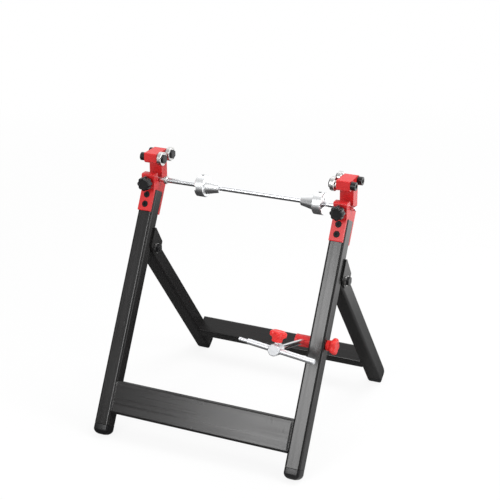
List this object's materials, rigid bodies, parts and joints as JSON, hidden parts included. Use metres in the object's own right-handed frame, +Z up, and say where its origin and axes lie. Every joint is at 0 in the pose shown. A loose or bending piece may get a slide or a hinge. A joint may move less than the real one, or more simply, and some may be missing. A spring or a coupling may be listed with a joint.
{
  "type": "motorcycle wheel balancer",
  "caption": "Folding A-frame bench stand with notched red heads, balancing bearings, a clamped shaft with centring cones, and an adjustable truing pointer on one leg.",
  "frame": {"origin": "middle of the resting stand's box, at the height of the surface it stands on", "axes": "+X along the shaft to the side with the gauge, +Y from the front frame to the rear frame, +Z up"},
  "size_m": [0.3856, 0.3962, 0.4184],
  "materials": {
    "black_paint": "satin black powder coat",
    "red_paint": "glossy red powder coat",
    "red_plastic": "red moulded knob",
    "black_plastic": "black moulded plastic",
    "bright_steel": "ground bright steel",
    "plain_steel": "bare steel",
    "blackened_steel": "blackened fastener steel",
    "turned_aluminium": "turned aluminium"
  },
  "bodies": {
    "front_stand": {"front_leg_left": "black_paint", "front_leg_right": "black_paint", "front_crossbar": "black_paint", "front_welds": "black_paint", "front_foot_caps": "black_plastic", "pivot_bracket_left": "black_paint", "pivot_bracket_right": "black_paint", "head_left": "red_paint", "head_right": "red_paint", "head_screws": "blackened_steel", "bearing_axle_bolts": "blackened_steel", "axle_spacers": "plain_steel", "axle_nuts": "blackened_steel", "bearing_inner_rings": "plain_steel", "pivot_bolts": "blackened_steel", "pivot_washers": "plain_steel", "pivot_nuts": "blackened_steel"},
    "rear_frame": {"rear_leg_left": "black_paint", "rear_leg_right": "black_paint", "rear_crossbar": "black_paint", "rear_welds": "black_paint", "rear_foot_caps": "black_plastic", "rear_pivot_sleeves": "plain_steel"},
    "bearing_left_front": {"bearing_left_front": "plain_steel"},
    "bearing_left_rear": {"bearing_left_rear": "plain_steel"},
    "bearing_right_front": {"bearing_right_front": "plain_steel"},
    "bearing_right_rear": {"bearing_right_rear": "plain_steel"},
    "shaft": {"balance_shaft": "bright_steel", "shaft_stop_ring": "blackened_steel"},
    "cone_left": {"cone_left": "turned_aluminium", "cone_set_screw_left": "blackened_steel"},
    "cone_right": {"cone_right": "turned_aluminium", "cone_set_screw_right": "blackened_steel"},
    "clamp_stud_left": {"clamp_stud_left": "plain_steel"},
    "clamp_knob_left": {"clamp_knob_left": "black_plastic"},
    "clamp_stud_right": {"clamp_stud_right": "plain_steel"},
    "clamp_knob_right": {"clamp_knob_right": "black_plastic"},
    "gauge_block": {"gauge_clamp_block": "red_paint", "gauge_bolt": "bright_steel"},
    "gauge_insert": {"gauge_knob_insert": "plain_steel"},
    "gauge_knob": {"gauge_star_knob": "red_plastic"},
    "arm_rod": {"gauge_arm_rod": "bright_steel"},
    "cross_clamp": {"cross_clamp": "turned_aluminium"},
    "clamp_screw": {"cross_clamp_screw": "bright_steel"},
    "cross_clamp_knob": {"cross_clamp_knob": "red_plastic"},
    "pointer": {"pointer_rod": "turned_aluminium", "pointer_tip": "bright_steel"}
  },
  "joints": [
    {"name": "rear_fold", "type": "hinge", "parent": "front_stand", "child": "rear_frame", "pos_m": [-0.00838, -0.01031, 0.26236], "axis": [1, 0, 0], "range_deg": [-66, 0]},
    {"name": "bearing_left_front_spin", "type": "hinge", "parent": "front_stand", "child": "bearing_left_front", "pos_m": [-0.15688, 0.00987, 0.40737], "axis": [1, 0, 0], "continuous": true},
    {"name": "bearing_left_rear_spin", "type": "hinge", "parent": "front_stand", "child": "bearing_left_rear", "pos_m": [-0.15688, 0.03827, 0.40737], "axis": [1, 0, 0], "continuous": true},
    {"name": "bearing_right_front_spin", "type": "hinge", "parent": "front_stand", "child": "bearing_right_front", "pos_m": [0.14012, 0.00987, 0.40737], "axis": [1, 0, 0], "continuous": true},
    {"name": "bearing_right_rear_spin", "type": "hinge", "parent": "front_stand", "child": "bearing_right_rear", "pos_m": [0.14012, 0.03827, 0.40737], "axis": [1, 0, 0], "continuous": true},
    {"name": "shaft_spin", "type": "hinge", "parent": "front_stand", "child": "shaft", "pos_m": [-0.00838, 0.01387, 0.37147], "axis": [1, 0, 0], "continuous": true},
    {"name": "cone_left_slide", "type": "slide", "parent": "shaft", "child": "cone_left", "axis": [1, 0, 0], "range_m": [-0.05, 0.06]},
    {"name": "cone_right_slide", "type": "slide", "parent": "shaft", "child": "cone_right", "axis": [1, 0, 0], "range_m": [-0.06, 0.015]},
    {"name": "clamp_stud_left_travel", "type": "slide", "parent": "front_stand", "child": "clamp_stud_left", "axis": [0, -1, 0], "range_m": [0, 0.004]},
    {"name": "clamp_knob_left_turn", "type": "hinge", "parent": "clamp_stud_left", "child": "clamp_knob_left", "pos_m": [-0.17188, -0.01363, 0.37147], "axis": [0, -1, 0], "range_deg": [0, 1440]},
    {"name": "clamp_stud_right_travel", "type": "slide", "parent": "front_stand", "child": "clamp_stud_right", "axis": [0, -1, 0], "range_m": [0, 0.004]},
    {"name": "clamp_knob_right_turn", "type": "hinge", "parent": "clamp_stud_right", "child": "clamp_knob_right", "pos_m": [0.15512, -0.01363, 0.37147], "axis": [0, -1, 0], "range_deg": [0, 1440]},
    {"name": "gauge_arm_swing", "type": "hinge", "parent": "front_stand", "child": "gauge_block", "pos_m": [0.13062, -0.08066, 0.18436], "axis": [1, 0, 0], "range_deg": [-60, 50]},
    {"name": "gauge_insert_travel", "type": "slide", "parent": "gauge_block", "child": "gauge_insert", "axis": [1, 0, 0], "range_m": [0, 0.004]},
    {"name": "gauge_knob_turn", "type": "hinge", "parent": "gauge_insert", "child": "gauge_knob", "pos_m": [0.17562, -0.08066, 0.18436], "axis": [1, 0, 0], "range_deg": [0, 1440]},
    {"name": "arm_rod_slide", "type": "slide", "parent": "gauge_block", "child": "arm_rod", "axis": [0, -0.9578, 0.2874], "range_m": [-0.03, 0.008]},
    {"name": "cross_clamp_swivel", "type": "hinge", "parent": "arm_rod", "child": "cross_clamp", "pos_m": [0.13062, -0.18918, 0.21692], "axis": [0, -0.9578, 0.2874], "range_deg": [-15, 15]},
    {"name": "clamp_screw_travel", "type": "slide", "parent": "cross_clamp", "child": "clamp_screw", "axis": [0.1045, 0.2858, 0.9526], "range_m": [0, 0.004]},
    {"name": "cross_clamp_knob_turn", "type": "hinge", "parent": "clamp_screw", "child": "cross_clamp_knob", "pos_m": [0.13271, -0.18347, 0.23597], "axis": [0.1045, 0.2858, 0.9526], "range_deg": [0, 1440]},
    {"name": "pointer_slide", "type": "slide", "parent": "cross_clamp", "child": "pointer", "axis": [0.9945, -0.03, -0.1001], "range_m": [-0.045, 0.03]}
  ],
  "couplings": [
    {"joint": "clamp_stud_left_travel", "follows": "clamp_knob_left_turn", "m_per_rad": 0.00015915},
    {"joint": "clamp_stud_right_travel", "follows": "clamp_knob_right_turn", "m_per_rad": 0.00015915},
    {"joint": "gauge_insert_travel", "follows": "gauge_knob_turn", "m_per_rad": 0.00015915},
    {"joint": "clamp_screw_travel", "follows": "cross_clamp_knob_turn", "m_per_rad": 0.00015915}
  ]
}
